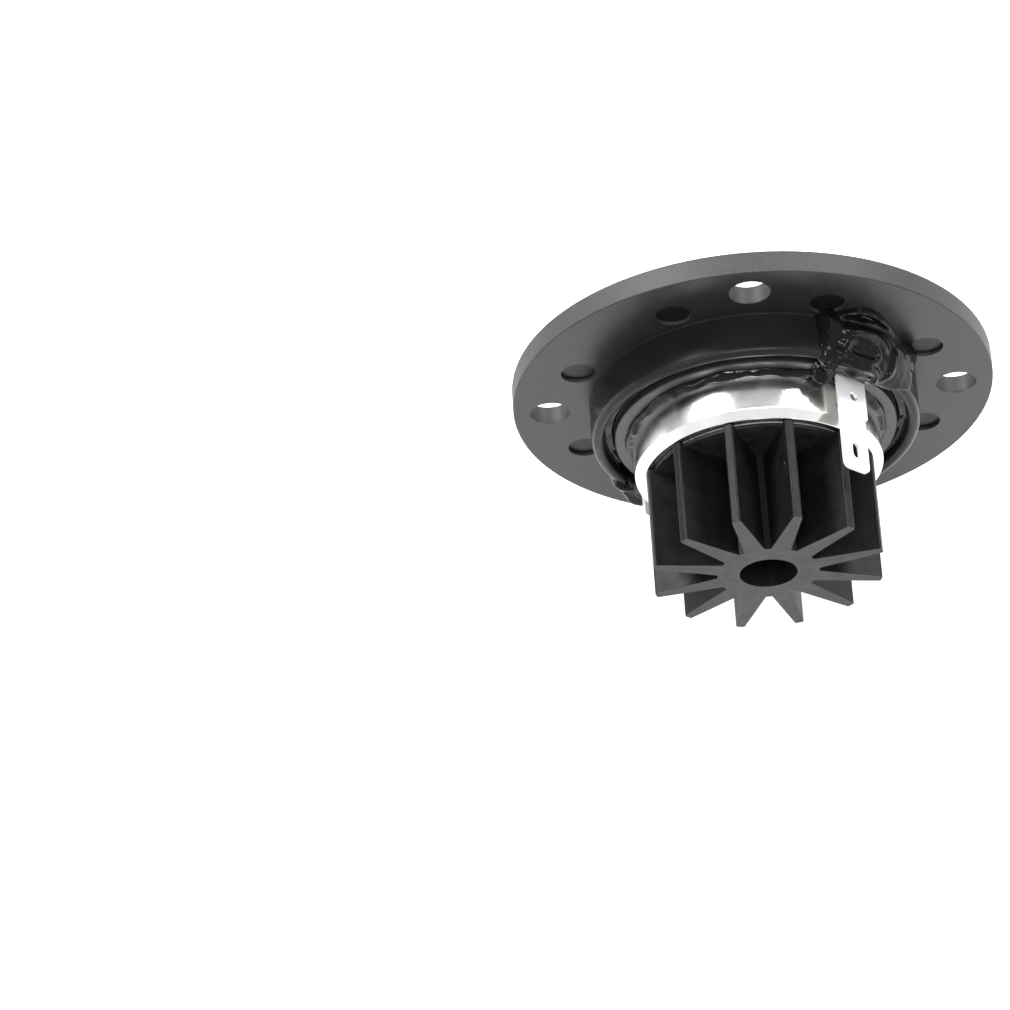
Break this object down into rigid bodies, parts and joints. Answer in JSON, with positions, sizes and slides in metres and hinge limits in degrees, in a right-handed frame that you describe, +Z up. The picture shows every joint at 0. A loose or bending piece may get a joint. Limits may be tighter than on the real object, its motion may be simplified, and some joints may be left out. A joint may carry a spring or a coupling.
{
  "type": "soft-dome car tweeter",
  "caption": "Soft-dome car tweeter: round panel flange with a short horn, sealed cup-magnet motor, flat solder lugs and a star-finned heatsink behind.",
  "frame": {"origin": "centre of the flange's rear face, the face that lies against the panel", "axes": "+Y back along the axis towards the heatsink (the dome faces -Y); +Z up, through a screw hole"},
  "size_m": [0.07, 0.0351, 0.07],
  "materials": {
    "face_plastic": "fine-grained charcoal moulding",
    "ring_plastic": "satin charcoal moulding",
    "dome_cloth": "coated woven cloth, semi-gloss",
    "surround_cloth": "coated cloth, semi-gloss",
    "former_foil": "bare foil",
    "winding_copper": "enamelled copper wire",
    "cup_plating": "bright zinc plating",
    "magnet_plating": "nickel plating",
    "pole_steel": "machined steel",
    "felt": "damping felt",
    "bond": "thermal adhesive",
    "heatsink_anodised": "black anodised, sawn end faces",
    "glue": "glossy black glue",
    "terminal_plating": "tin plating",
    "solder": "bright solder",
    "lead_wire": "tinned copper"
  },
  "bodies": {
    "chassis": {"collar_glue_ring": "glue", "cup_glue_ring": "glue", "damping_pad": "felt", "diaphragm_ring": "ring_plastic", "face_plate": "face_plastic", "heatsink": "heatsink_anodised", "heatsink_bond": "bond", "magnet": "magnet_plating", "magnet_cup": "cup_plating", "motor_ring": "ring_plastic", "negative_glue": "glue", "negative_lead": "lead_wire", "negative_solder": "solder", "negative_terminal": "terminal_plating", "pole_plate": "pole_steel", "positive_glue": "glue", "positive_lead": "lead_wire", "positive_solder": "solder", "positive_terminal": "terminal_plating", "surround": "surround_cloth"},
    "diaphragm": {"dome": "dome_cloth", "coil_former": "former_foil", "voice_coil": "winding_copper"}
  },
  "joints": [
    {"name": "diaphragm_travel", "type": "slide", "parent": "chassis", "child": "diaphragm", "axis": [0, -1, 0], "range_m": [-0.0005, 0.0005], "stiffness_N_per_m": 200, "deforming": ["surround", "positive_lead", "negative_lead"]}
  ]
}
